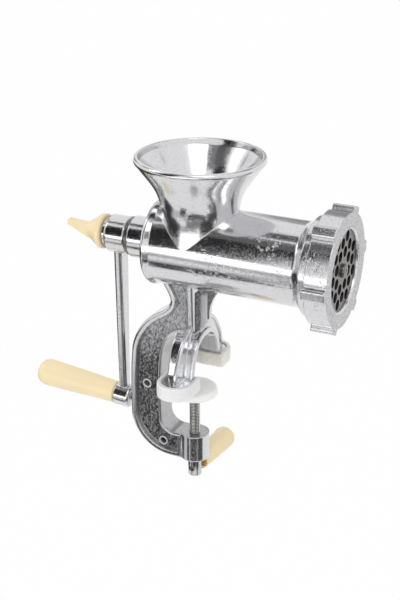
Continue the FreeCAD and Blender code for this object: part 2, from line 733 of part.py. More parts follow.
def ring_nut():
    body = cyl_x(RING_BACK, RING_FRONT, RING_R)
    lugs = []
    for k in range(RING_LUGS):
        w = RING_LUG_W / 2
        lug = box(RING_BACK, RING_FRONT, -w, w, RING_R - 6.0, RING_LUG_R)
        tip = RING_LUG_R - 0.01
        lug = rounded(lug, 2.2, lambda e: e.CenterOfMass.z > tip and abs(e.CenterOfMass.y) > 1)
        lug.translate(V(0, 0, AXIS_Z))
        lug.rotate(V(0, 0, AXIS_Z), V(1, 0, 0), 90.0 + RING_LUG_TURN + 360.0 * k / RING_LUGS)
        lugs.append(lug)
    ring = joined([body] + lugs)
    mouth = turn_x(
        [
            [(RING_BACK - 1, 0), (RING_BACK - 1, COLLAR_R + SLIDE)],
            [(RING_BACK - 1, COLLAR_R + SLIDE), (PLATE_FRONT, COLLAR_R + SLIDE)],
            [(PLATE_FRONT, COLLAR_R + SLIDE), (PLATE_FRONT, MOUTH_R)],
            [(PLATE_FRONT, MOUTH_R), (RING_FRONT - MOUTH_ROUND, MOUTH_R)],
            [
                (RING_FRONT - MOUTH_ROUND, MOUTH_R),
                (RING_FRONT - 0.3 * MOUTH_ROUND, MOUTH_R + 0.3 * MOUTH_ROUND),
                (RING_FRONT, MOUTH_R + MOUTH_ROUND),
            ],
            [(RING_FRONT, MOUTH_R + MOUTH_ROUND), (RING_FRONT + 1, MOUTH_R + MOUTH_ROUND)],
            [(RING_FRONT + 1, MOUTH_R + MOUTH_ROUND), (RING_FRONT + 1, 0)],
            [(RING_FRONT + 1, 0), (RING_BACK - 1, 0)],
        ]
    )
    return ring.cut(mouth)


def tilted(shape):
    # The grip's outer end stands a little higher than its boss.
    turned = shape.copy()
    turned.rotate(V((GRIP_BOSS_X0 + GRIP_BOSS_X1) / 2, 0, CRANK_Z), V(0, 1, 0), GRIP_TILT)
    return turned


def crank_arm():
    hub = turn_x(
        [
            [(HUB_X1, 0), (HUB_X1, HUB_R - 1.2)],
            [(HUB_X1, HUB_R - 1.2), (HUB_X1 - 1.2, HUB_R)],
            [(HUB_X1 - 1.2, HUB_R), (HUB_X0, HUB_R)],
            [(HUB_X0, HUB_R), (HUB_X0 - 1.4, HUB_R - 0.6), (HUB_X0 - 2.0, HUB_NECK_R)],
            [(HUB_X0 - 2.0, HUB_NECK_R), (NECK_END + 0.6, HUB_NECK_R)],
            [(NECK_END + 0.6, HUB_NECK_R), (NECK_END, HUB_NECK_R - 0.6)],
            [(NECK_END, HUB_NECK_R - 0.6), (NECK_END, 0)],
            [(NECK_END, 0), (HUB_X1, 0)],
        ]
    )
    w0 = ARM_W0 / 2
    w1 = ARM_W1 / 2
    arm = plate_x(closed([(-w0, AXIS_Z), (w0, AXIS_Z), (w1, CRANK_Z), (-w1, CRANK_Z)]), ARM_X0, ARM_X1)
    arm = rounded(arm, 2.2, lambda e: e.Length > 50)
    boss = cyl_x(GRIP_BOSS_X0, GRIP_BOSS_X1, GRIP_BOSS_R, 0.0, CRANK_Z)
    boss = rounded(boss, 1.6, lambda e: abs(e.CenterOfMass.x - GRIP_BOSS_X1) < 0.01)
    solid = joined([hub, arm, tilted(boss)])
    drive_end = HUB_X1 - DRIVE_LEN
    hole = cyl_x(drive_end - SLIDE, HUB_X1 + 1, DRIVE_R + SLIDE)
    f = DRIVE_FLAT + SLIDE
    hole = hole.common(box(drive_end - 2, HUB_X1 + 2, -f, f, AXIS_Z - DRIVE_R - 2, AXIS_Z + DRIVE_R + 2))
    solid = solid.cut(hole).cut(cyl_x(NECK_END - 1, HUB_X1, STUD_R + 4 * SLIDE))
    return solid.cut(tilted(cyl_x(GRIP_BOSS_X0 - 3, GRIP_BOSS_X1 + 3, SPINDLE_R + PRESS, 0.0, CRANK_Z)))


def grip_tip():
    return GRIP_X0 + GRIP_END_WALL


def grip_spindle():
    rod = cyl_x(grip_tip() + SPINDLE_HEAD_T, GRIP_BOSS_X1, SPINDLE_R, 0.0, CRANK_Z)
    tip = cyl_x(grip_tip(), grip_tip() + SPINDLE_HEAD_T, SPINDLE_HEAD_R, 0.0, CRANK_Z)
    head = turn_x(
        [
            [(GRIP_BOSS_X1, 0), (GRIP_BOSS_X1, SPINDLE_R + 1.2)],
            [
                (GRIP_BOSS_X1, SPINDLE_R + 1.2),
                (GRIP_BOSS_X1 + 1.1, SPINDLE_R + 0.1),
                (GRIP_BOSS_X1 + 1.6, 0),
            ],
            [(GRIP_BOSS_X1 + 1.6, 0), (GRIP_BOSS_X1, 0)],
        ],
        CRANK_Z,
    )
    return tilted(joined([rod, tip, head]))


def crank_grip():
    r0 = GRIP_R0
    r1 = GRIP_R1
    n = GRIP_X0
    end = [(n, 0), (n + 0.4, 0.48 * r1), (n + 1.8, 0.77 * r1), (n + 4.2, 0.93 * r1), (n + 8.5, r1)]
    side = [
        end[-1],
        (n + 24.0, r1 - 0.18 * (r1 - r0)),
        (n + 44.0, r0 + 0.42 * (r1 - r0)),
        (GRIP_X1 - 1.4, r0),
    ]
    grip = turn_x(
        [
            end,
            side,
            [side[-1], (GRIP_X1, r0 - 1.4)],
            [(GRIP_X1, r0 - 1.4), (GRIP_X1, 0)],
            [(GRIP_X1, 0), end[0]],
        ],
        CRANK_Z,
    )
    hole = cyl_x(grip_tip() + SPINDLE_HEAD_T, GRIP_X1 + 1, SPINDLE_R + RUN, 0.0, CRANK_Z)
    pocket = cyl_x(
        grip_tip() - SLIDE, grip_tip() + SPINDLE_HEAD_T + SLIDE, SPINDLE_HEAD_R + RUN, 0.0, CRANK_Z
    )
    return tilted(grip.cut(hole).cut(pocket))


def thumb_screw_stud():
    drive_end = BUSH_END - HUB_GAP - DRIVE_LEN
    x0 = NECK_END - FACE - STUD_IN_KNOB
    x1 = drive_end + STUD_LEN - STUD_IN_KNOB - 1.5
    return cyl_x(x0, x1, STUD_R)


def thumb_screw_knob():
    x1 = NECK_END - FACE
    rim = x1 - KNOB_RIM_T
    cone = rim - KNOB_CONE_LEN
    tip = cone - WING_LEN
    turned = turn_x(
        [
            [(x1, 0), (x1, KNOB_RIM_R - 0.9)],
            [(x1, KNOB_RIM_R - 0.9), (x1 - 0.9, KNOB_RIM_R)],
            [(x1 - 0.9, KNOB_RIM_R), (rim, KNOB_RIM_R)],
            [
                (rim, KNOB_RIM_R),
                (rim - 0.35 * KNOB_CONE_LEN, KNOB_CONE_R + 0.62 * (KNOB_RIM_R - KNOB_CONE_R)),
                (cone, KNOB_CONE_R),
            ],
            [(cone, KNOB_CONE_R), (cone - 2.0, KNOB_CONE_R - 1.8)],
            [(cone - 2.0, KNOB_CONE_R - 1.8), (cone - 2.0, 0)],
            [(cone - 2.0, 0), (x1, 0)],
        ]
    )
    h = WING_ROOT / 2
    w = WING_T / 2
    wing = plate_y(
        [
            [(rim, AXIS_Z - h), (rim, AXIS_Z + h)],
            [
                (rim, AXIS_Z + h),
                (cone, AXIS_Z + h - 1.0),
                (tip + 0.5 * WING_LEN, AXIS_Z + h - 1.0),
                (tip + 0.8, AXIS_Z + h),
            ],
            [(tip + 0.8, AXIS_Z + h), (tip, AXIS_Z + h - 0.8)],
            [(tip, AXIS_Z + h - 0.8), (tip, AXIS_Z + h - WING_TIP)],
            [
                (tip, AXIS_Z + h - WING_TIP),
                (tip + 0.35 * WING_LEN, AXIS_Z - 0.25 * h),
                (tip + 0.7 * WING_LEN, AXIS_Z - 0.85 * h),
                (rim, AXIS_Z - h),
            ],
        ],
        -w,
        w,
    )
    knob = joined([turned, wing])
    return knob.cut(cyl_x(x1 - STUD_IN_KNOB, x1 + 1, STUD_R + PRESS))


def clamp_disc():
    r = DISC_R
    t = DISC_TOP_Z
    b = DISC_BOT_Z
    disc = turn_z(
        [
            [(0, b), (r - 2.2, b)],
            [(r - 2.2, b), (r - 0.5, b + 0.9), (r, b + 2.6)],
            [(r, b + 2.6), (r, t - 2.6)],
            [(r, t - 2.6), (r - 0.7, t - 0.9), (r - 2.6, t)],
            [(r - 2.6, t), (0, t)],
            [(0, t), (0, b)],
        ]
    )
    ball = Part.makeSphere(BALL_R + RUN, V(0, 0, t - BALL_DEPTH))
    mouth = cyl_z(b - 1.0, t - BALL_DEPTH, NECK_R + 4 * SLIDE)
    return disc.cut(ball).cut(mouth)


def clamp_screw():
    t = DISC_TOP_Z - BALL_DEPTH
    ball = Part.makeSphere(BALL_R, V(0, 0, t))
    neck = cyl_z(DISC_BOT_Z - 1.2, t, NECK_R)
    rod = cyl_z(HEAD_TOP_Z - 1.0, DISC_BOT_Z - 1.0, SCREW_R)
    head = cyl_z(HEAD_BOT_Z, HEAD_TOP_Z, HEAD_R)
    head = rounded(head, 0.9, lambda e: abs(e.CenterOfMass.z - HEAD_BOT_Z) < 0.01)
    screw = joined([ball, neck, rod, head])
    return screw.cut(along_lever(-HEAD_R - 2.0, HEAD_R + 2.0, LEVER_ROD_R + PRESS)).cut(pin_hole(PRESS))


def along_lever(s0, s1, r):
    a = radians(LEVER_ANGLE)
    d = V(cos(a), sin(a), 0)
    return Part.makeCylinder(r, s1 - s0, V(0, 0, LEVER_Z) + d * s0, d)


def pin_hole(extra):
    return cyl_z(HEAD_BOT_Z - 1.0, LEVER_Z - LEVER_ROD_R + 1.0, LEVER_PIN_R + extra)


def clamp_lever_rod():
    rod = along_lever(-HEAD_R, LEVER_GRIP_START + LEVER_ROD_IN, LEVER_ROD_R)
    return rod.cut(cyl_z(HEAD_BOT_Z - 1.0, LEVER_Z - LEVER_ROD_R + 1.0, LEVER_PIN_R + PRESS))


def lever_pin():
    return cyl_z(HEAD_BOT_Z, LEVER_Z - LEVER_ROD_R + 1.0, LEVER_PIN_R)


def clamp_lever_grip():
    s0 = LEVER_GRIP_START
    s1 = s0 + LEVER_GRIP_LEN
    r0 = LEVER_GRIP_R0
    r1 = LEVER_GRIP_R1
    grip = turn_x(
        [
            [(s0, 0), (s0, r0 - 0.8)],
            [(s0, r0 - 0.8), (s0 + 0.8, r0)],
            [(s0 + 0.8, r0), (s0 + 20.0, r0 + 0.55 * (r1 - r0)), (s1 - 8.0, r1)],
            [(s1 - 8.0, r1), (s1 - 3.6, 0.88 * r1), (s1 - 1.0, 0.5 * r1), (s1, 0)],
            [(s1, 0), (s0, 0)],
        ],
        LEVER_Z,
    )
    grip.rotate(V(0, 0, LEVER_Z), V(0, 0, 1), LEVER_ANGLE)
    return grip.cut(along_lever(s0 - 1.0, s0 + LEVER_ROD_IN, LEVER_ROD_R + PRESS))


def main():
    os.makedirs("parts", exist_ok=True)
    pad = jaw_pad()
    pieces = {
        "body_casting": body_casting(),
        "rear_bush": rear_bush(),
        "plate_key_pin": plate_key_pin(),
        "jaw_pad_front": mirrored_y(pad),
        "jaw_pad_rear": pad,
        "worm": worm(),
        "thrust_washer": thrust_washer(),
        "cross_knife": cross_knife(),
        "hole_plate": hole_plate(),
        "ring_nut": ring_nut(),
        "crank_arm": crank_arm(),
        "grip_spindle": grip_spindle(),
        "crank_grip": crank_grip(),
        "thumb_screw_stud": thumb_screw_stud(),
        "thumb_screw_knob": thumb_screw_knob(),
        "clamp_disc": clamp_disc(),
        "clamp_screw": clamp_screw(),
        "clamp_lever_rod": clamp_lever_rod(),
        "lever_pin": lever_pin(),
        "clamp_lever_grip": clamp_lever_grip(),
    }
    for name, shape in pieces.items():
        print(name, len(shape.Solids), round(shape.Volume), shape.isValid())
        shape.exportStep("parts/" + name + ".step")


main()
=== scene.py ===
"""Hand crank meat grinder: finishes, the column's rib, the threaded clamp screw and the studio."""

from math import cos, pi, radians, sin, tan

import bpy
from bpy.props import FloatProperty, FloatVectorProperty, IntProperty, PointerProperty
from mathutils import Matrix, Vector


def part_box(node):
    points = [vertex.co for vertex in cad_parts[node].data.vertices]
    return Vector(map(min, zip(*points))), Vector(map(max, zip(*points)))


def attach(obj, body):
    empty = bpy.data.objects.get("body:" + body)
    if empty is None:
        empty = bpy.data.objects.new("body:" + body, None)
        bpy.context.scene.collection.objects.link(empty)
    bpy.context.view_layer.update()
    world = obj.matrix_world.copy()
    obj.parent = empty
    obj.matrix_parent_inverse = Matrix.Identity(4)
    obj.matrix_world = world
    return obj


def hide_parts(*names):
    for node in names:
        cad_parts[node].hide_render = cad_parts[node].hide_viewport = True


bl_info = {
    "name": "Hand crank meat grinder",
    "version": (1, 0, 0),
    "blender": (4, 5, 0),
    "location": "View3D > Sidebar > Grinder",
    "description": "Finishes a packed meat grinder and sets up its studio",
    "category": "Object",
}

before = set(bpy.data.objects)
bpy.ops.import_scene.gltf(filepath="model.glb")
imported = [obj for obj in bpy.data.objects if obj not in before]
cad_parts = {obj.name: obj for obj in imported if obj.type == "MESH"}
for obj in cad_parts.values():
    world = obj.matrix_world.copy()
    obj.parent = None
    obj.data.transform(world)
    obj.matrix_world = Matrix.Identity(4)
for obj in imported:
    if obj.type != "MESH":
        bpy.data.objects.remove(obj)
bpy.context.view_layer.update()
MM = 0.001

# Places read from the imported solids, in metres
SCREW_LOW, SCREW_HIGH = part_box("clamp_screw")
DISC_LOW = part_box("clamp_disc")[0]
RING_LOW, RING_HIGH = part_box("ring_nut")
LEVER_LOW, LEVER_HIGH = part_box("clamp_lever_grip")
AXIS_Z = 0.5 * (RING_LOW.z + RING_HIGH.z)
LEVER_Z = 0.5 * (LEVER_LOW.z + LEVER_HIGH.z)

# Where the casting's finish changes: Y from the middle plane, X from the screw's axis, Z from the table
RECESS_FLOOR_Y = 6.5 * MM
RECESS_TOP_Z = 76 * MM
PAD_LIP_Y = 8.9 * MM
PAD_DISH_Y = 7.5 * MM
COLUMN_FLOOR_X = 0.8 * MM
COLUMN_WALL_Y = 12.4 * MM
RIB_HALF = 3.8 * MM
RIB_ZONE_Y = RIB_HALF + 0.9 * MM
RIB_ZONE_X = 1.4 * MM
RIB_ZONE_Z = (39.4 * MM, 72 * MM)
THROAT_HALF = 12.5 * MM
THROAT_FACE_X = -12 * MM
THROAT_TOP_Z = 31 * MM
BOSS_TOP_Z = -30 * MM
COLLAR_PITCH = 3 * MM
COLLAR_START_X = RING_LOW.x + 0.4 * MM

# How squarely a surface faces along an axis to count as facing that way
SQUARE_ON = 0.9

# Two heights or depths this close together are the same
SAME = 0.01 * MM

# The stage, in metres: what the panels stand round, what the camera looks at, and how far off they are
CENTRE = Vector((0.0, 0.0, 0.09))
TARGET = Vector((4.28 * MM, 0, 61.46 * MM))
FLOOR_SIZE = 14
FLOOR_WHITE = 0.97
FLAG_REACH = 2.0
FLAG_DROP = 0.7
BOX_REACH = 1.7
SENSOR_WIDTH_MM = 36.0
CLIP_END = 50.0
WHITE = (1, 1, 1, 1)
BLACK = (0, 0, 0, 1)


def linear(text):
    """An sRGB hex colour as linear red, green and blue."""
    channels = [int(text[i : i + 2], 16) / 255 for i in (1, 3, 5)]
    return [c / 12.92 if c <= 0.04045 else ((c + 0.055) / 1.055) ** 2.4 for c in channels]


def tone(colour, share=1.0):
    """A colour made darker or lighter, with its alpha."""
    return (*[min(1.0, share * c) for c in colour], 1)


def wire(tree, node, inputs):
    """Links each input to a socket, or sets it to a plain value."""
    for key, value in inputs.items():
        if isinstance(value, bpy.types.NodeSocket):
            tree.links.new(value, node.inputs[key])
        else:
            node.inputs[key].default_value = value


def put(tree, kind, inputs=None, **settings):
    """Adds one node with its settings and its inputs."""
    node = tree.nodes.new(kind)
    for key, value in settings.items():
        setattr(node, key, value)
    wire(tree, node, inputs or {})
    return node


def sums(tree, operation, *terms, clamp=False):
    """One step of arithmetic on sockets or numbers."""
    node = put(tree, "ShaderNodeMath", dict(enumerate(terms)), operation=operation, use_clamp=clamp)
    return node.outputs["Value"]


def all_of(tree, first, *others):
    """A mask that is set only where all of these are."""
    for other in others:
        first = sums(tree, "MULTIPLY", first, other)
    return first


def any_of(tree, first, *others):
    """A mask that is set where at least one of these is."""
    for other in others:
        first = sums(tree, "MAXIMUM", first, other)
    return first


def ramp(tree, value, start, stop, low=0.0, high=1.0, **settings):
    """Turns start to stop of a value into low to high."""
    ends = {"Value": value, "From Min": start, "From Max": stop, "To Min": low, "To Max": high}
    return put(tree, "ShaderNodeMapRange", ends, **settings).outputs["Result"]


def noise(tree, point, size, detail, roughness=0.5):
    """Noise with lumps of about this size in metres."""
    inputs = {"Vector": point, "Scale": 1 / size, "Detail": detail, "Roughness": roughness}
    return put(tree, "ShaderNodeTexNoise", inputs).outputs["Fac"]


def mix(tree, share, first, second, kind="FLOAT"):
    """A number, or with RGBA a colour, between two others."""
    inputs = {"Factor": share, "A": first, "B": second}
    return put(tree, "ShaderNodeMix", inputs, data_type=kind).outputs["Result"]


def stretch(tree, point, **how):
    """Moved or scaled coordinates."""
    return put(tree, "ShaderNodeMapping", {"Vector": point, **how}).outputs["Vector"]


def split(tree, vector):
    """The X, Y and Z sockets of a vector."""
    return put(tree, "ShaderNodeSeparateXYZ", {"Vector": vector}).outputs


def bump(tree, height, strength, distance, normal=None, invert=False):
    """Relief from a height, on top of the relief that there is."""
    inputs = {"Height": height, "Strength": strength, "Distance": distance}
    if normal is not None:
        inputs["Normal"] = normal
    return put(tree, "ShaderNodeBump", inputs, invert=invert).outputs["Normal"]


def new_material(name):
    """An empty node material: its tree, its surface shader and its coordinates."""
    material = bpy.data.materials.new(name)
    material.use_nodes = True
    tree = material.node_tree
    tree.nodes.clear()
    shader = put(tree, "ShaderNodeBsdfPrincipled")
    put(tree, "ShaderNodeOutputMaterial", {"Surface": shader.outputs["BSDF"]})
    return material, tree, shader, put(tree, "ShaderNodeTexCoord").outputs


def give(material, *nodes):
    """Puts a material on these CAD pieces."""
    for name in nodes:
        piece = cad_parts[name]
        if not piece.material_slots:
            piece.data.materials.append(material)
        for slot in piece.material_slots:
            slot.material = material


def hue(name, description, text):
    """A colour setting."""
    return FloatVectorProperty(name=name, description=description, subtype="COLOR", default=linear(text))


def length(name, description, default):
    """A size setting, in metres."""
    return FloatProperty(name=name, description=description, default=default, unit="LENGTH")


def angle(name, description, default):
    """An angle setting, given in degrees."""
    return FloatProperty(name=name, description=description, default=radians(default), subtype="ANGLE")


class FinishSettings(bpy.types.PropertyGroup):
    aluminium: hue("Aluminium", "Colour of the polished casting", "#D9D9DB")
    rough_cast: hue("Rough cast", "Colour of the unpolished recess floors", "#D4D4D6")
    steel: hue("Steel", "Colour of the ground plate, knife and worm", "#82807E")
    zinc: hue("Zinc", "Colour of the plated screw, rod and pins", "#CBCCC9")
    cream: hue("Cream plastic", "Colour of the grips and the wing knob", "#F8E4BA")
    # Painted shade on the lever grip's foot, where it sits in shadow between the screw head and the boss
    grip_foot_shade: hue("Grip foot shade", "Colour of the painted shade at the foot of the lever's grip", "#BF9546")
    milky: hue("Milky plastic", "Colour of the front jaw pad and the clamp disc", "#FDFDFB")
    clear: hue("Clear plastic", "Colour of the rear jaw pad, older and more see-through", "#F8F4E9")
    polish: FloatProperty(
        name="Polish", description="Roughness of the polished casting", default=0.08, min=0.02, max=0.6
    )
    grain: length("Cast grain", "Size of the pores that the polishing leaves", 0.9 * MM)


class ScrewSettings(bpy.types.PropertyGroup):
    pitch: length("Pitch", "Rise of one thread turn", 1.25 * MM)
    radius: length("Radius", "Outside of the thread", 4.0 * MM)
    depth: length("Depth", "Depth of the thread", 0.68 * MM)
    head_radius: length("Head radius", "Round head", 5.2 * MM)
    head_length: length("Head length", "Round head", 16.0 * MM)
    neck_radius: length("Neck", "Neck under the ball", 2.7 * MM)
    steps: IntProperty(name="Steps", description="Faces round one thread turn", default=28)


class RibSettings(bpy.types.PropertyGroup):
    back: length("Back", "Rear of the rib, in the column", -0.5 * MM)
    front: length("Front", "Nose of the rib", 9.7 * MM)
    foot: length("Foot", "Start of the lower spread", 42 * MM)
    neck: length("Neck", "Start of the upper spread", 68 * MM)
    nose: length("Nose", "Rounding of the nose", 3.6 * MM)
    step: length("Step", "Height of one step of the spread", 1.3 * MM)


class StageSettings(bpy.types.PropertyGroup):
    azimuth: angle("Azimuth", "Camera's side", 24.9)
    elevation: angle("Elevation", "Camera's height", 23.6)
    distance: length("Distance", "Camera to its target", 0.8639)
    lens: FloatProperty(name="Lens", description="Focal length", default=72.0, unit="CAMERA")
    floor_drop: length("Floor", "Floor below the table top", 0.75)
    fill: FloatProperty(name="Fill", description="Strength of the light from all round", default=0.86)


def worn_polish(tree, point, finish):
    """What every polished cast surface shares: colour, roughness and relief sockets.

    Sand-cast aluminium, ground and buffed: a mirror with slightly wavy reflections, fine
    open pores, and short scratches from use."""
    # Buffing leaves hollows about 14 mm long that bend the reflections
    waves = noise(tree, point, 14 * MM, 1.0)
    # Pores of under half a millimetre, drawn about a millimetre wide so that they show
    pores = ramp(tree, noise(tree, point, finish.grain, 3.0, 0.7), 0.52, 0.72)
    # Scratches about 0.3 mm wide, along the lines where a noise crosses its middle
    wander = sums(tree, "SUBTRACT", noise(tree, point, 2.4 * MM, 2.0), 0.5)
    lines = ramp(tree, sums(tree, "ABSOLUTE", wander), 0.05, 0.01)
    # They break off after some 3 mm and lie in patches of some 30 mm
    short = ramp(tree, noise(tree, point, 3.4 * MM, 1.0), 0.52, 0.58)
    patch = ramp(tree, noise(tree, point, 30 * MM, 2.0), 0.46, 0.58)
    # They are on the flanks that it is laid down on: not the middle, the hopper or the rear
    spot = split(tree, point)
    flank = ramp(tree, sums(tree, "ABSOLUTE", spot["Y"]), 13 * MM, 19 * MM)
    lower = ramp(tree, spot["Z"], 128 * MM, 122 * MM)
    ahead = ramp(tree, spot["X"], 4 * MM, 16 * MM)
    scratches = all_of(tree, lines, short, patch, flank, lower, ahead)
    # Buffing rounds every edge by about a millimetre
    relief = put(tree, "ShaderNodeBevel", {"Radius": 1.2 * MM}, samples=6).outputs["Normal"]
    relief = bump(tree, waves, 0.15, 0.35 * MM, relief)
    relief = bump(tree, pores, 0.26, 0.08 * MM, relief, invert=True)
    relief = bump(tree, scratches, 0.9, 0.14 * MM, relief, invert=True)
    # Smears of about 9 mm change the gloss, and open pores dull it
    gloss = ramp(tree, noise(tree, point, 9 * MM, 4.0), 0.3, 0.75, 0.7 * finish.polish, 1.6 * finish.polish)
    rough = sums(tree, "MULTIPLY_ADD", pores, 0.16, gloss)
    tint = mix(tree, pores, tone(finish.aluminium), tone(finish.aluminium, 0.72), "RGBA")
    return tint, rough, relief


def body_finish(finish):
    """Polished casting whose recess floors stay as they came from the sand, with painted shade and painted
    highlight on them.
    """
    material, tree, shader, place = new_material("polished_cast_aluminium")
    point = place["Object"]
    tint, rough, relief = worn_polish(tree, point, finish)
    spot = split(tree, point)
    facing = split(tree, place["Normal"])
    aside = sums(tree, "ABSOLUTE", spot["Y"])
    sideways = sums(tree, "GREATER_THAN", sums(tree, "ABSOLUTE", facing["Y"]), SQUARE_ON)
    below = sums(tree, "LESS_THAN", spot["Z"], RECESS_TOP_Z)
    # The frame's recess floors face sideways
    side = all_of(tree, sums(tree, "COMPARE", aside, RECESS_FLOOR_Y, 0.4 * MM), sideways, below)
    # The column's recess floor faces the outlet, and its walls face each other
    fore = sums(tree, "GREATER_THAN", facing["X"], SQUARE_ON)
    floor = all_of(tree, sums(tree, "COMPARE", spot["X"], COLUMN_FLOOR_X, 0.3 * MM), fore)
    wall = all_of(tree, sums(tree, "COMPARE", aside, COLUMN_WALL_Y, 0.3 * MM), sideways, below)
    # The column's middle rib is satin all over
    rib = all_of(
        tree,
        sums(tree, "LESS_THAN", aside, RIB_ZONE_Y),
        sums(tree, "GREATER_THAN", spot["X"], RIB_ZONE_X),
        sums(tree, "GREATER_THAN", spot["Z"], RIB_ZONE_Z[0]),
        sums(tree, "LESS_THAN", spot["Z"], RIB_ZONE_Z[1]),
    )
    cast = any_of(tree, side, floor, wall, rib)
    # Sand grain of about 0.8 mm, and streaks 1 mm wide and 2 mm tall from the way the mould was drawn
    sand = noise(tree, point, 0.8 * MM, 3.0, 0.7)
    streaks = noise(tree, stretch(tree, point, Scale=(1.0, 1.0, 0.5)), 1 * MM, 2.0)
    mottle = ramp(tree, sums(tree, "ADD", sand, streaks), 0.72, 1.28, -0.7, 0.7, clamp=False)
    # Painted shade and painted highlight: the recess floors are painted darker towards the bottom of the
    # spine and darker still on the column's floor, the column's walls lighter, and the rib lighter where it
    # faces the outlet
    bright = ramp(tree, spot["Z"], 2 * MM, 46 * MM, 0.1, 0.78)
    bright = mix(tree, floor, bright, 0.22)
    bright = mix(tree, wall, bright, 0.95)
    # Painted highlight on the rib's nose, lighter the more squarely it faces the outlet
    bright = mix(tree, rib, bright, ramp(tree, facing["X"], 0.05, 0.5, 0.62, 1.9))
    shade = sums(tree, "ADD", mottle, bright, clamp=True)
    ground = mix(tree, shade, tone(finish.rough_cast, 0.05), tone(finish.rough_cast), "RGBA")
    colour = mix(tree, cast, tint, ground, "RGBA")
    # The throat's inner face and the screw boss's top are ground, not polished
    inner = sums(tree, "LESS_THAN", aside, THROAT_HALF)
    boss_top = all_of(
        tree,
        inner,
        sums(tree, "GREATER_THAN", facing["Z"], 0.3),
        sums(tree, "LESS_THAN", spot["Z"], BOSS_TOP_Z),
    )
    face = all_of(
        tree,
        inner,
        sums(tree, "GREATER_THAN", facing["X"], 0.2),
        sums(tree, "LESS_THAN", spot["X"], THROAT_FACE_X),
        sums(tree, "LESS_THAN", spot["Z"], THROAT_TOP_Z),
    )
    throat = any_of(tree, boss_top, face)
    grey = mix(tree, throat, 1.0, ramp(tree, sand, 0.3, 0.7, 0.54, 0.80))
    darker = put(tree, "ShaderNodeVectorMath", {0: colour, "Scale": grey}, operation="SCALE")
    # The two ring pads in each recess: their lips take the plain cast colour, and their hollows a painted
    # shade
    lip = all_of(tree, sums(tree, "COMPARE", aside, PAD_LIP_Y, 0.2 * MM), sideways)
    dish = all_of(tree, sums(tree, "COMPARE", aside, PAD_DISH_Y, 0.2 * MM), sideways)
    colour = mix(tree, lip, darker.outputs["Vector"], tone(finish.rough_cast), "RGBA")
    colour = mix(tree, dish, colour, tone(finish.rough_cast, 0.12), "RGBA")
    # An unpolished casting scatters about half of its light as a dull surface does
    metal = sums(tree, "MULTIPLY_ADD", any_of(tree, cast, lip), -0.55, 1.0)
    rough = mix(tree, throat, rough, 0.25)
    rough = mix(tree, cast, rough, 0.38)
    relief = bump(tree, all_of(tree, sand, cast), 0.9, 0.9 * MM, relief)
    # The collar's thread, under the ring nut: along the axis, plus the share of a turn round it
    height = sums(tree, "SUBTRACT", spot["Z"], AXIS_Z)
    turn = sums(tree, "ARCTAN2", spot["Y"], height)
    turn = sums(tree, "MULTIPLY", turn, 1 / (2 * pi))
    along = sums(tree, "MULTIPLY_ADD", spot["X"], 1 / COLLAR_PITCH, turn)
    ridge = sums(tree, "PINGPONG", along, 0.5)
    collar = sums(tree, "GREATER_THAN", spot["X"], COLLAR_START_X)
    relief = bump(tree, all_of(tree, ridge, collar), 1.0, 1.6 * MM, relief)
    wire(tree, shader, {"Metallic": metal, "Base Color": colour, "Roughness": rough, "Normal": relief})
    return material


def ring_finish(finish):
    """The ring nut: buffed round the outside, its front face only turned, so it is satin."""
    material, tree, shader, place = new_material("turned_cast_aluminium")
    point = place["Object"]
    tint, rough, relief = worn_polish(tree, point, finish)
    face = ramp(tree, split(tree, place["Normal"])["X"], 0.85, 0.97)
    rough = mix(tree, face, rough, 0.38)
    colour = mix(tree, face, tint, tone(finish.aluminium, 0.95), "RGBA")
    # Open grain of the turned face, about 0.8 mm
    speck = ramp(tree, noise(tree, point, 0.8 * MM, 3.0, 0.7), 0.48, 0.6)
    colour = mix(tree, all_of(tree, speck, face), colour, tone(finish.aluminium, 0.42), "RGBA")
    # Lathe lines about a millimetre apart round the axis
    lines = put(
        tree,
        "ShaderNodeTexWave",
        {
            "Vector": stretch(tree, point, Location=(0, 0, -AXIS_Z)),
            "Scale": 1 / (3.2 * MM),
            "Distortion": 1.5,
            "Detail": 2.0,
            "Detail Scale": 0.6,
        },
        wave_type="RINGS",
        rings_direction="X",
    )
    relief = bump(tree, all_of(tree, lines.outputs["Fac"], face), 0.15, 0.06 * MM, relief)
    wire(tree, shader, {"Metallic": 1.0, "Base Color": colour, "Roughness": rough, "Normal": relief})
    return material


def crank_finish(finish):
    """The crank: the same casting, buffed all over."""
    material, tree, shader, place = new_material("buffed_cast_aluminium")
    tint, rough, relief = worn_polish(tree, place["Object"], finish)
    wire(tree, shader, {"Metallic": 1.0, "Base Color": tint, "Roughness": rough, "Normal": relief})
    return material


def steel_finish(name, colour, grain, roughness, groove=None):
    """Ground steel: grey, half dull, with fine streaks one way, slight stains, and painted shade down in a
    groove.

    The grain is the size of the streaks along X, Y and Z, and the groove its inner and outer radius."""
    material, tree, shader, place = new_material(name)
    point = place["Object"]
    streaks = noise(tree, stretch(tree, point, Scale=[1 / size for size in grain]), 1.0, 3.0)
    # Stains of about 8 mm
    stain = noise(tree, point, 8 * MM, 3.0)
    tint = mix(tree, stain, tone(colour, 1.12), tone(colour, 0.78), "RGBA")
    if groove:
        # Painted shade down in the thread's grooves; they lie nearer to the screw's axis, which is the
        # frame's Z axis
        level = put(tree, "ShaderNodeVectorMath", {0: point, 1: (1, 1, 0)}, operation="MULTIPLY")
        out = put(tree, "ShaderNodeVectorMath", {0: level.outputs["Vector"]}, operation="LENGTH")
        tint = mix(tree, ramp(tree, out.outputs["Value"], *groove), tone(colour, 0.32), tint, "RGBA")
    dull = ramp(tree, streaks, 0.3, 0.7, 0.8 * roughness, 1.25 * roughness)
    relief = bump(tree, streaks, 0.2, 0.08 * MM)
    wire(tree, shader, {"Metallic": 1.0, "Base Color": tint, "Roughness": dull, "Normal": relief})
    return material


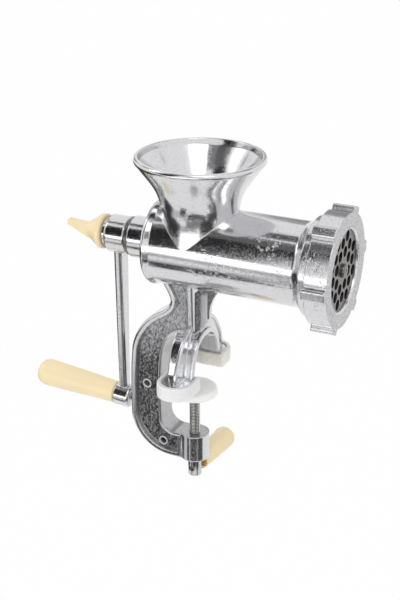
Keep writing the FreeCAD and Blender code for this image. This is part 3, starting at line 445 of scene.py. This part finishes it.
def cream_finish(finish):
    """Injection-moulded polystyrene: smooth, a little deep, with slight flow marks and dull rubs."""
    material, tree, shader, place = new_material("moulded_cream_plastic")
    point = place["Object"]
    # Flow marks of about 18 mm
    flow = noise(tree, point, 18 * MM, 3.0)
    tint = mix(tree, flow, tone(finish.cream, 1.05), tone(finish.cream, 0.94), "RGBA")
    # The lever grip's foot, over some 3 mm beside and above the rod, gets a painted shade where it sits in
    # shadow between the screw head and the boss
    spot = split(tree, point)
    upper = sums(tree, "COMPARE", spot["Z"], LEVER_Z + 2.4 * MM, 5 * MM)
    foot = ramp(tree, spot["Y"], LEVER_LOW.y + 2.8 * MM, LEVER_LOW.y + 0.8 * MM)
    tint = mix(tree, all_of(tree, upper, foot), tint, tone(finish.grip_foot_shade), "RGBA")
    rubs = ramp(tree, flow, 0.3, 0.7, 0.3, 0.42)
    # Fine skin of the mould, about 0.7 mm so that it shows
    relief = bump(tree, noise(tree, point, 0.7 * MM, 2.0), 0.1, 0.05 * MM)
    deep = {"Subsurface Weight": 0.15, "Subsurface Radius": (1.0, 0.7, 0.4), "Subsurface Scale": 2 * MM}
    wire(tree, shader, {"IOR": 1.55, **deep, "Base Color": tint, "Roughness": rubs, "Normal": relief})
    return material


def milky_finish(name, colour, clear, roughness):
    """Moulded polyethylene: waxy and milky, and more see-through where it is thin."""
    material, tree, shader, place = new_material(name)
    point = place["Object"]
    # Haze in clouds of about 7 mm
    haze = noise(tree, point, 7 * MM, 3.0)
    tint = mix(tree, haze, tone(colour, 1.04), tone(colour, 0.95), "RGBA")
    dull = ramp(tree, haze, 0.3, 0.7, 0.85 * roughness, 1.2 * roughness)
    # Grain of the mould, about 1.1 mm
    relief = bump(tree, noise(tree, point, 1.1 * MM, 2.0), 0.15, 0.08 * MM)
    deep = {"Subsurface Weight": 0.5, "Subsurface Radius": (1.0, 1.0, 0.95), "Subsurface Scale": 4 * MM}
    wire(tree, shader, {"IOR": 1.51, "Transmission Weight": clear, **deep})
    wire(tree, shader, {"Base Color": tint, "Roughness": dull, "Normal": relief})
    return material


class GRINDER_OT_aluminium(bpy.types.Operator):
    """Finishes the casting, the ring nut and the crank"""

    bl_idname = "grinder.aluminium"
    bl_label = "Aluminium"

    def execute(self, context):
        finish = context.scene.grinder_finish
        give(body_finish(finish), "body_casting")
        give(ring_finish(finish), "ring_nut")
        give(crank_finish(finish), "crank_arm")
        return {"FINISHED"}


class GRINDER_OT_steel(bpy.types.Operator):
    """Finishes the plate, knife, worm, bush, rods and pins"""

    bl_idname = "grinder.steel"
    bl_label = "Steel"

    def execute(self, context):
        finish = context.scene.grinder_finish
        # Streaks along the plate's height, round the worm's axis, and none on the plating
        across = (12 * MM, 0.5 * MM, 12 * MM)
        round_rod = (0.6 * MM, 6 * MM, 6 * MM)
        even = (3 * MM, 3 * MM, 3 * MM)
        plate = steel_finish("ground_plate_steel", finish.steel, across, roughness=0.34)
        give(plate, "hole_plate", "cross_knife")
        turned = steel_finish("turned_worm_steel", finish.steel, round_rod, roughness=0.28)
        give(turned, "worm", "rear_bush")
        zinc = steel_finish("zinc_plated_steel", finish.zinc, even, roughness=0.18)
        give(zinc, "clamp_lever_rod", "lever_pin", "grip_spindle", "plate_key_pin", "thumb_screw_stud")
        return {"FINISHED"}


class GRINDER_OT_plastics(bpy.types.Operator):
    """Finishes the grips, the wing knob, the jaw pads, the disc and the washer"""

    bl_idname = "grinder.plastics"
    bl_label = "Plastics"

    def execute(self, context):
        finish = context.scene.grinder_finish
        give(cream_finish(finish), "crank_grip", "clamp_lever_grip", "thumb_screw_knob")
        milky = milky_finish("milky_polyethylene", finish.milky, clear=0.0, roughness=0.36)
        give(milky, "clamp_disc", "thrust_washer")
        give(milky_finish("waxy_polyethylene", finish.milky, clear=0.08, roughness=0.3), "jaw_pad_front")
        give(milky_finish("clear_polyethylene", finish.clear, clear=0.06, roughness=0.28), "jaw_pad_rear")
        return {"FINISHED"}


def only(piece):
    """Makes this the only selected piece, and the active one."""
    bpy.ops.object.select_all(action="DESELECT")
    piece.select_set(True)
    bpy.context.view_layer.objects.active = piece


def pick_edges(piece, test):
    """Selects, in edit mode, the edges whose two ends pass the test."""
    bpy.ops.object.mode_set(mode="OBJECT")
    mesh = piece.data
    for item in (*mesh.polygons, *mesh.vertices):
        item.select = False
    for edge in mesh.edges:
        edge.select = all(test(mesh.vertices[i].co) for i in edge.vertices)
    bpy.ops.object.mode_set(mode="EDIT")
    bpy.ops.mesh.select_mode(type="EDGE")


def upright_rod(low, high, radius, faces):
    """A plain rod round the Z axis, between two heights."""
    bpy.ops.object.select_all(action="DESELECT")
    bpy.ops.mesh.primitive_cylinder_add(
        vertices=faces, radius=radius, depth=high - low, location=(0, 0, 0.5 * (low + high))
    )
    bpy.ops.object.transform_apply(location=True)
    return bpy.context.active_object


class GRINDER_OT_column_rib(bpy.types.Operator):
    """Models the rib that stands in the middle of the column, from the arch up to the barrel"""

    bl_idname = "grinder.column_rib"
    bl_label = "Column rib"

    def execute(self, context):
        size = context.scene.grinder_rib
        bpy.ops.object.select_all(action="DESELECT")
        middle = (0.5 * (size.back + size.front), 0, 0.5 * (size.foot + size.neck))
        bpy.ops.mesh.primitive_cube_add(size=1, location=middle)
        rib = context.active_object
        rib.name = rib.data.name = "column_rib"
        rib.scale = (size.front - size.back, 2 * RIB_HALF, size.neck - size.foot)
        bpy.ops.object.transform_apply(location=True, rotation=True, scale=True)
        pick_edges(rib, lambda co: co.x > size.front - SAME)
        self.drop_level_edges(rib)
        bpy.ops.mesh.bevel(offset=size.nose, segments=8, profile=0.5, affect="EDGES")
        # Both ends spread out into the casting, in four steps each
        for end, way in ((size.neck, 1), (size.foot, -1)):
            for grow in (1.03, 1.07, 1.12, 1.2):
                self.pick_end(rib, end)
                bpy.ops.mesh.extrude_region_move(TRANSFORM_OT_translate={"value": (0, 0, way * size.step)})
                end += way * size.step
                bpy.ops.transform.resize(value=(grow, grow, 1), center_override=(size.back, 0, end))
        bpy.ops.mesh.select_all(action="SELECT")
        bpy.ops.mesh.normals_make_consistent(inside=False)
        bpy.ops.object.mode_set(mode="OBJECT")
        only(rib)
        bpy.ops.object.shade_smooth_by_angle(angle=radians(40))
        rib.data.materials.append(bpy.data.materials["polished_cast_aluminium"])
        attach(rib, "housing")
        return {"FINISHED"}

    def drop_level_edges(self, rib):
        """Keeps only the upright edges selected."""
        bpy.ops.object.mode_set(mode="OBJECT")
        for edge in rib.data.edges:
            ends = [rib.data.vertices[i].co.z for i in edge.vertices]
            edge.select = edge.select and abs(ends[0] - ends[1]) > MM
        bpy.ops.object.mode_set(mode="EDIT")

    def pick_end(self, rib, level):
        """Selects the end face at this height."""
        bpy.ops.object.mode_set(mode="OBJECT")
        for item in (*rib.data.vertices, *rib.data.edges):
            item.select = False
        for face in rib.data.polygons:
            face.select = abs(face.center.z - level) < SAME and abs(face.normal.z) > SQUARE_ON
        bpy.ops.object.mode_set(mode="EDIT")
        bpy.ops.mesh.select_mode(type="FACE")


class GRINDER_OT_clamp_screw(bpy.types.Operator):
    """Models the clamp screw with its real thread, round head, neck and ball"""

    bl_idname = "grinder.clamp_screw"
    bl_label = "Clamp screw"

    def execute(self, context):
        size = context.scene.grinder_screw
        low = SCREW_LOW.z + size.head_length
        high = DISC_LOW.z - 1.0 * MM
        ball_z = SCREW_HIGH.z - size.radius
        # The thread starts inside the head, and the neck inside the thread
        rod = self.threaded_rod(size, low - 2 * MM, high)
        head = self.round_head(size, SCREW_LOW.z, low)
        neck = self.neck(size, high - 1.0 * MM, ball_z)
        bpy.ops.mesh.primitive_uv_sphere_add(
            segments=40, ring_count=20, radius=size.radius, location=(0, 0, ball_z)
        )
        ball = context.active_object
        only(rod)
        for part in (head, neck, ball):
            part.select_set(True)
        bpy.ops.object.join()
        rod.name = rod.data.name = "clamp_screw_threaded"
        bpy.ops.object.transform_apply(location=True, rotation=True, scale=True)
        bpy.ops.object.shade_smooth_by_angle(angle=radians(32))
        rod.data.materials.clear()
        zinc = context.scene.grinder_finish.zinc
        even = (4 * MM, 4 * MM, 4 * MM)
        # The radii between which the thread's grooves get painted shade
        groove = (size.radius - size.depth, size.radius - 0.6 * size.depth)
        plating = steel_finish("zinc_plated_thread", zinc, even, roughness=0.15, groove=groove)
        rod.data.materials.append(plating)
        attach(rod, "clamp_screw")
        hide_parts("clamp_screw")
        return {"FINISHED"}

    def threaded_rod(self, size, low, high):
        """One thread profile, wound up the rod and cut flat at both ends."""
        root = size.radius - size.depth
        start = low - 2 * size.pitch
        bpy.ops.object.select_all(action="DESELECT")
        bpy.ops.mesh.primitive_plane_add(size=size.pitch, location=(root, 0, start))
        rod = bpy.context.active_object
        bpy.ops.object.transform_apply(location=True)
        bpy.ops.object.mode_set(mode="EDIT")
        bpy.ops.mesh.select_mode(type="VERT")
        bpy.ops.mesh.select_all(action="SELECT")
        bpy.ops.mesh.merge(type="CENTER")
        # Each side of the profile: how far out it goes, and its share of the pitch
        profile = ((size.depth, 0.40), (0.0, 0.14), (-size.depth, 0.40), (0.0, 0.06))
        for out, rise in profile:
            move = {"value": (out, 0, rise * size.pitch)}
            bpy.ops.mesh.extrude_vertices_move(TRANSFORM_OT_translate=move)
        bpy.ops.object.mode_set(mode="OBJECT")
        # Enough turns to pass both ends
        wind = rod.modifiers.new("wind", "SCREW")
        wind.axis = "Z"
        wind.angle = 2 * pi
        wind.screw_offset = size.pitch
        wind.iterations = int((high - low) / size.pitch) + 5
        wind.steps = size.steps
        wind.render_steps = size.steps
        wind.use_merge_vertices = False
        only(rod)
        bpy.ops.object.modifier_apply(modifier="wind")
        bpy.ops.object.mode_set(mode="EDIT")
        bpy.ops.mesh.select_all(action="SELECT")
        bpy.ops.mesh.remove_doubles(threshold=0.004 * MM)
        for z, way in ((high, 1), (low, -1)):
            bpy.ops.mesh.select_all(action="SELECT")
            bpy.ops.mesh.bisect(plane_co=(0, 0, z), plane_no=(0, 0, way), use_fill=True, clear_outer=True)
        bpy.ops.mesh.select_all(action="SELECT")
        bpy.ops.mesh.normals_make_consistent(inside=False)
        bpy.ops.object.mode_set(mode="OBJECT")
        return rod

    def round_head(self, size, low, high):
        """A turned head with broken edges and the hole that the lever pin sits in."""
        head = upright_rod(low, high, size.head_radius, faces=72)
        for z, width in ((low, 0.9 * MM), (high, 0.4 * MM)):
            pick_edges(head, lambda co: abs(co.z - z) < SAME)
            bpy.ops.mesh.bevel(offset=width, segments=4, profile=0.5, affect="EDGES")
        bpy.ops.object.mode_set(mode="OBJECT")
        pin_low, pin_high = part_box("lever_pin")
        # A little play round the pin
        hole = 0.5 * (pin_high.x - pin_low.x) + 0.06 * MM
        drill = upright_rod(pin_low.z - 2 * MM, pin_low.z + 2 * MM, hole, faces=24)
        bore = head.modifiers.new("bore", "BOOLEAN")
        bore.operation = "DIFFERENCE"
        bore.object = drill
        only(head)
        bpy.ops.object.modifier_apply(modifier="bore")
        bpy.data.objects.remove(drill)
        return head

    def neck(self, size, low, high):
        """The thin neck between the thread and the ball, with a bevelled foot."""
        neck = upright_rod(low, high, size.neck_radius, faces=40)
        pick_edges(neck, lambda co: abs(co.z - low) < SAME)
        bpy.ops.mesh.bevel(offset=0.3 * MM, segments=3, affect="EDGES")
        bpy.ops.object.mode_set(mode="OBJECT")
        return neck


def towards(azimuth, elevation):
    """Unit vector for two angles: azimuth 0 is to the front (-Y), positive to the outlet's side."""
    return Vector((sin(azimuth) * cos(elevation), -cos(azimuth) * cos(elevation), sin(elevation)))


def aim(piece, where, direction, axis):
    """Stands a piece here, with one of its own axes along a direction."""
    piece.location = where
    piece.rotation_mode = "QUATERNION"
    piece.rotation_quaternion = direction.to_track_quat(axis, "Y")


def seen_directly(tree):
    """1 for rays that see a surface straight, mirrored or through plastic, 0 for those that only light."""
    path = put(tree, "ShaderNodeLightPath").outputs
    seen = sums(tree, "ADD", path["Is Camera Ray"], path["Is Glossy Ray"])
    return sums(tree, "ADD", seen, path["Is Transmission Ray"], clamp=True)


def mixed(tree, share, first, second):
    """One shader fading into another."""
    return put(tree, "ShaderNodeMixShader", {0: share, 1: first, 2: second}).outputs["Shader"]


class GRINDER_OT_stage(bpy.types.Operator):
    """Sets up the floor, the soft lights, the dark flags that the polish reflects, and the camera"""

    bl_idname = "grinder.stage"
    bl_label = "Stage"

    # Azimuths, elevations and brightness of the dark flags and of the grey edges of the sweep
    flags = (
        ("flag_front", (-52, -14), (-2, 53), 0.02),
        ("flag_front_top", (-51, -15), (46, 66), 0.12),
        ("flag_high", (-22, 9), (46, 64), 0.24),
        ("flag_left_top", (-100, -46), (57, 80), 0.08),
        ("flag_far_left", (-119, -86), (27, 55), 0.05),
        ("flag_left", (-62, -43), (11, 32), 0.20),
        ("flag_right", (3, 34), (18, 38), 0.30),
        ("flag_left_low", (-130, -31), (-30, -7), 0.04),
        ("flag_low_middle", (-50, 18), (-21, -13), 0.45),
        ("flag_right_low", (20, 68), (-33, -7), 0.06),
        ("flag_low_step", (-20, 27), (-33, -17), 0.26),
        ("flag_left_edge", (-128, -64), (-44, -22), 0.04),
        ("flag_middle_edge", (-76, 8), (-42, -29), 0.62),
        ("flag_line", (-42, -20), (-50, -33), 0.03),
        ("flag_right_edge", (42, 92), (-45, -26), 0.08),
        ("flag_right_wedge", (53, 81), (-65, -41), 0.24),
        ("flag_back_left", (-179, -158), (-2, 40), 0.35),
        ("flag_boss", (-22, 48), (-43, -31), 0.06),
        ("flag_back", (163, 197), (36, 62), 0.30),
        ("flag_rear", (119, 153), (36, 62), 0.05),
        ("flag_rear_left", (213, 264), (-40, -6), 0.06),
        ("flag_rear_right", (100, 126), (-30, -9), 0.30),
        ("flag_rear_high", (217, 244), (4, 26), 0.20),
    )
    # Azimuths, elevations and brightness of the soft boxes
    boxes = (
        ("box_right", (8, 53), (39, 61), 1.8),
        ("box_left", (-81, -61), (29, 51), 1.8),
        ("box_front", (-32, 22), (-11, 1), 1.5),
    )

    def execute(self, context):
        size = context.scene.grinder_stage
        self.surroundings(context, size)
        self.floor(context, size)
        for name, sides, heights, level in self.flags:
            self.flag(name, sides, heights, level)
        for name, sides, heights, level in self.boxes:
            self.soft_box(name, sides, heights, level)
        self.camera(context, size)
        context.scene.view_settings.view_transform = "Standard"
        return {"FINISHED"}

    def surroundings(self, context, size):
        """White all round to look at, and a little less bright as a light."""
        world = bpy.data.worlds.new("studio")
        context.scene.world = world
        world.use_nodes = True
        tree = world.node_tree
        tree.nodes.clear()
        lit, white = [
            put(tree, "ShaderNodeBackground", {"Color": WHITE, "Strength": strength}).outputs["Background"]
            for strength in (size.fill, 1.0)
        ]
        put(tree, "ShaderNodeOutputWorld", {"Surface": mixed(tree, seen_directly(tree), lit, white)})

    def floor(self, context, size):
        """A pale floor that looks almost white, so that it has no edge."""
        bpy.ops.mesh.primitive_plane_add(size=FLOOR_SIZE, location=(0, 0, -size.floor_drop))
        floor = context.active_object
        floor.name = "floor"
        material, tree, shader = new_material("pale_floor")[:3]
        wire(tree, shader, {"Base Color": (0.9, 0.9, 0.9, 1), "Roughness": 0.9})
        glow = put(tree, "ShaderNodeEmission", {"Color": WHITE, "Strength": 1.0}).outputs["Emission"]
        share = sums(tree, "MULTIPLY", seen_directly(tree), FLOOR_WHITE)
        faded = mixed(tree, share, shader.outputs["BSDF"], glow)
        wire(tree, tree.nodes["Material Output"], {"Surface": faded})
        floor.data.materials.append(material)

    def spread(self, sides, heights, reach):
        """Place, direction, width and height of a panel that covers these angles at this reach."""
        elevation = radians(0.5 * (heights[0] + heights[1]))
        middle = towards(radians(0.5 * (sides[0] + sides[1])), elevation)
        wide = 2 * reach * tan(radians(0.5 * (sides[1] - sides[0]) * cos(elevation)))
        high = 2 * reach * tan(radians(0.5 * (heights[1] - heights[0])))
        return CENTRE + reach * middle, middle, wide, high

    def flag(self, name, sides, heights, level):
        """A dark panel with soft edges, seen only in reflections."""
        # A low flag stands nearer, so that it stays above the floor
        reach = min(FLAG_REACH, FLAG_DROP / max(0.1, sin(radians(-heights[0]))))
        where, middle, wide, high = self.spread(sides, heights, reach)
        bpy.ops.mesh.primitive_plane_add(size=1)
        card = bpy.context.active_object
        card.name = name
        card.scale = (wide, high, 1)
        aim(card, where, middle, "Z")
        material, tree, shader, place = new_material(name)
        wire(tree, shader, {"Base Color": BLACK, "Specular IOR Level": 0.0})
        wire(tree, shader, {"Emission Color": WHITE, "Emission Strength": level})
        # The flag fades out over the outer sixth of its width and height
        spot = split(tree, place["Object"])
        fades = [
            ramp(tree, sums(tree, "ABSOLUTE", spot[side]), 0.5, 0.34, interpolation_type="SMOOTHSTEP")
            for side in ("X", "Y")
        ]
        clear = put(tree, "ShaderNodeBsdfTransparent").outputs["BSDF"]
        faded = mixed(tree, all_of(tree, *fades), clear, shader.outputs["BSDF"])
        wire(tree, tree.nodes["Material Output"], {"Surface": faded})
        card.data.materials.append(material)
        card.visible_camera = False
        card.visible_diffuse = False
        card.visible_shadow = False

    def soft_box(self, name, sides, heights, level):
        """An area light that is as bright as this level all over."""
        where, middle, wide, high = self.spread(sides, heights, BOX_REACH)
        lamp = bpy.data.lights.new(name, "AREA")
        lamp.shape = "RECTANGLE"
        lamp.size = wide
        lamp.size_y = high
        lamp.energy = level * pi * wide * high
        box = bpy.data.objects.new(name, lamp)
        bpy.context.scene.collection.objects.link(box)
        aim(box, where, middle, "Z")
        box.visible_camera = False

    def camera(self, context, size):
        """The photo's view, as fitted to its circles."""
        view = bpy.data.cameras.new("photo_view")
        view.lens = size.lens
        view.sensor_width = SENSOR_WIDTH_MM
        view.clip_end = CLIP_END
        camera = bpy.data.objects.new("photo_view", view)
        context.scene.collection.objects.link(camera)
        back = towards(size.azimuth, size.elevation)
        aim(camera, TARGET + size.distance * back, -back, "-Z")
        context.scene.camera = camera


class GRINDER_PT_sidebar(bpy.types.Panel):
    bl_idname = "GRINDER_PT_sidebar"
    bl_label = "Meat grinder"
    bl_space_type = "VIEW_3D"
    bl_region_type = "UI"
    bl_category = "Grinder"

    def draw(self, context):
        layout = self.layout
        for group in GROUPS:
            settings = getattr(context.scene, group)
            for name in settings.__annotations__:
                layout.prop(settings, name)
        for step in STEPS:
            layout.operator(step.bl_idname)


GROUPS = {
    "grinder_finish": FinishSettings,
    "grinder_rib": RibSettings,
    "grinder_screw": ScrewSettings,
    "grinder_stage": StageSettings,
}
STEPS = (
    GRINDER_OT_aluminium,
    GRINDER_OT_steel,
    GRINDER_OT_plastics,
    GRINDER_OT_column_rib,
    GRINDER_OT_clamp_screw,
    GRINDER_OT_stage,
)


def register():
    for name, group in GROUPS.items():
        bpy.utils.register_class(group)
        setattr(bpy.types.Scene, name, PointerProperty(type=group))
    for kind in (*STEPS, GRINDER_PT_sidebar):
        bpy.utils.register_class(kind)


def unregister():
    for kind in (GRINDER_PT_sidebar, *reversed(STEPS)):
        bpy.utils.unregister_class(kind)
    for name, group in GROUPS.items():
        delattr(bpy.types.Scene, name)
        bpy.utils.unregister_class(group)


def main():
    register()
    bpy.ops.grinder.aluminium()
    bpy.ops.grinder.steel()
    bpy.ops.grinder.plastics()
    bpy.ops.grinder.column_rib()
    bpy.ops.grinder.clamp_screw()
    bpy.ops.grinder.stage()


if __name__ == "__main__":
    main()
